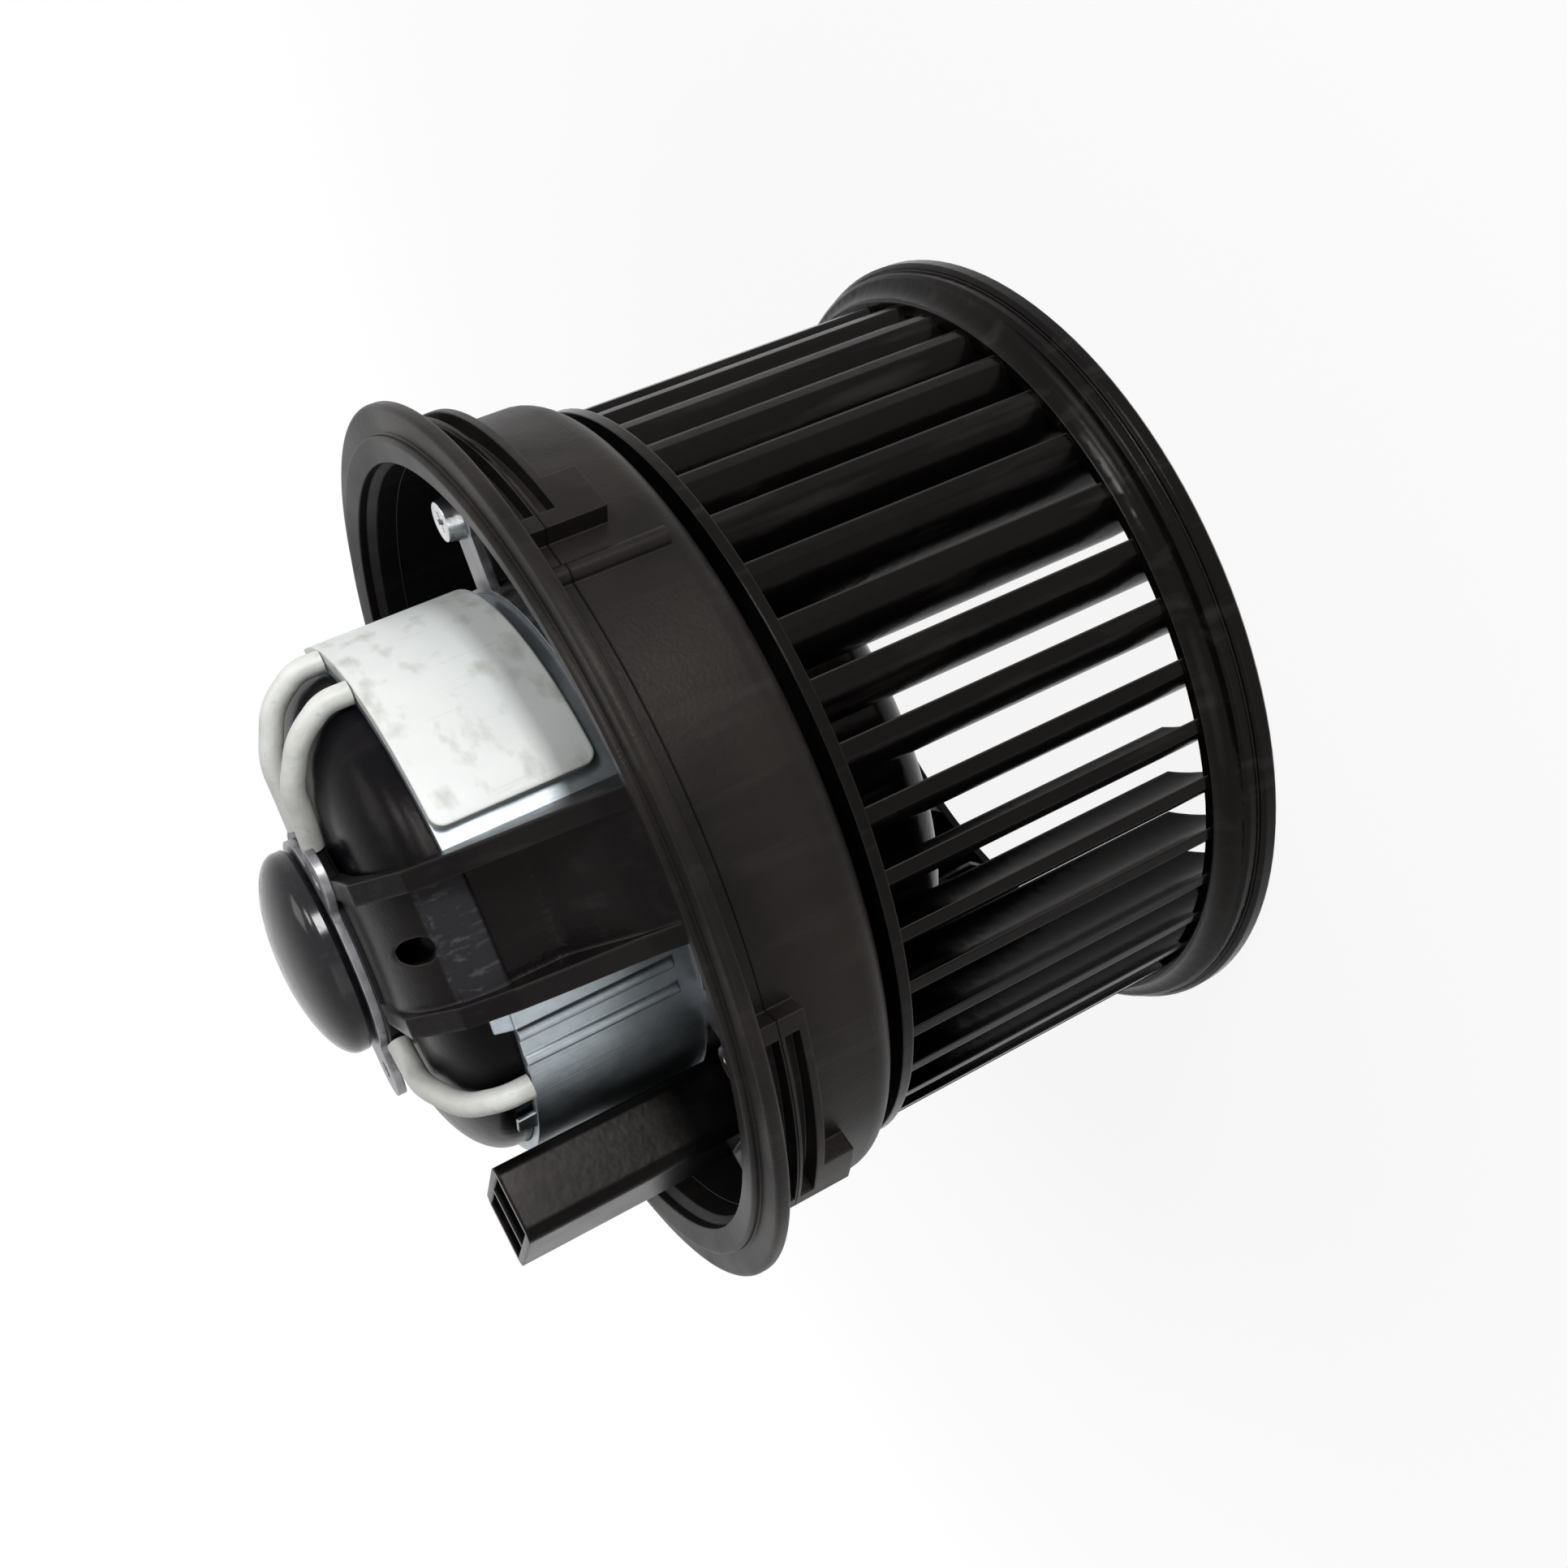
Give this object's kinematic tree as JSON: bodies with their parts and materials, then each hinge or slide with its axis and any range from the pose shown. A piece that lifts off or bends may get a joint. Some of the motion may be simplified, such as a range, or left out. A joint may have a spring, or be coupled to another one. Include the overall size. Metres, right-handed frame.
{
  "type": "car cabin blower motor",
  "caption": "Cabin blower: a bladed drum fan wheel with a flared intake rim on an electric motor, held by cradle arms in a flanged drum housing.",
  "frame": {"origin": "centre of the fan wheel's intake rim, on the plane it stands on", "axes": "+Z along the shaft to the motor's tail, +X through the middle of the front cradle arm"},
  "size_m": [0.164, 0.164, 0.1509],
  "materials": {
    "housing": "grained black moulding",
    "cradle": "grained black moulding",
    "connector_arm": "grained black moulding",
    "wheel_hub": "satin black moulding",
    "wheel_blades": "satin black moulding",
    "wheel_rim": "satin black moulding",
    "motor_can": "galvanised",
    "end_bell": "satin black moulding",
    "cover_plate": "natural white nylon",
    "tail_plate": "zinc plated",
    "tail_cap": "glossy black",
    "lead_upper": "white sleeve",
    "lead_lower": "white sleeve",
    "lead_far": "white sleeve",
    "mounting_screws": "bright zinc",
    "mounting_band": "zinc plated",
    "connector_terminals": "tinned",
    "motor_shaft": "ground",
    "hub_clip": "spring steel",
    "front_bearing": "sintered bronze",
    "rear_bearing": "sintered bronze",
    "front_bearing_retainer": "plain",
    "rear_bearing_retainer": "plain",
    "front_thrust_washer": "nylon",
    "magnets": "ferrite",
    "armature_core": "stacked laminations",
    "armature_windings": "enamelled copper",
    "commutator": "turned copper",
    "brush_card": "phenolic",
    "brushes": "carbon",
    "brush_springs": "spring steel",
    "chokes": "wound ferrite rod"
  },
  "bodies": {
    "stator": {"housing": "housing", "cradle": "cradle", "connector_arm": "connector_arm", "motor_can": "motor_can", "end_bell": "end_bell", "cover_plate": "cover_plate", "tail_plate": "tail_plate", "tail_cap": "tail_cap", "lead_upper": "lead_upper", "lead_lower": "lead_lower", "lead_far": "lead_far", "mounting_screws": "mounting_screws", "mounting_band": "mounting_band", "connector_terminals": "connector_terminals", "front_bearing": "front_bearing", "rear_bearing": "rear_bearing", "front_bearing_retainer": "front_bearing_retainer", "rear_bearing_retainer": "rear_bearing_retainer", "magnets": "magnets", "brush_card": "brush_card", "brushes": "brushes", "brush_springs": "brush_springs", "chokes": "chokes"},
    "rotor": {"wheel_hub": "wheel_hub", "wheel_blades": "wheel_blades", "wheel_rim": "wheel_rim", "motor_shaft": "motor_shaft", "hub_clip": "hub_clip", "armature_core": "armature_core", "armature_windings": "armature_windings", "commutator": "commutator", "front_thrust_washer": "front_thrust_washer"}
  },
  "joints": [
    {"name": "fan_spin", "type": "hinge", "parent": "stator", "child": "rotor", "pos_m": [0, 0, 0.07], "axis": [0, 0, 1], "continuous": true}
  ]
}
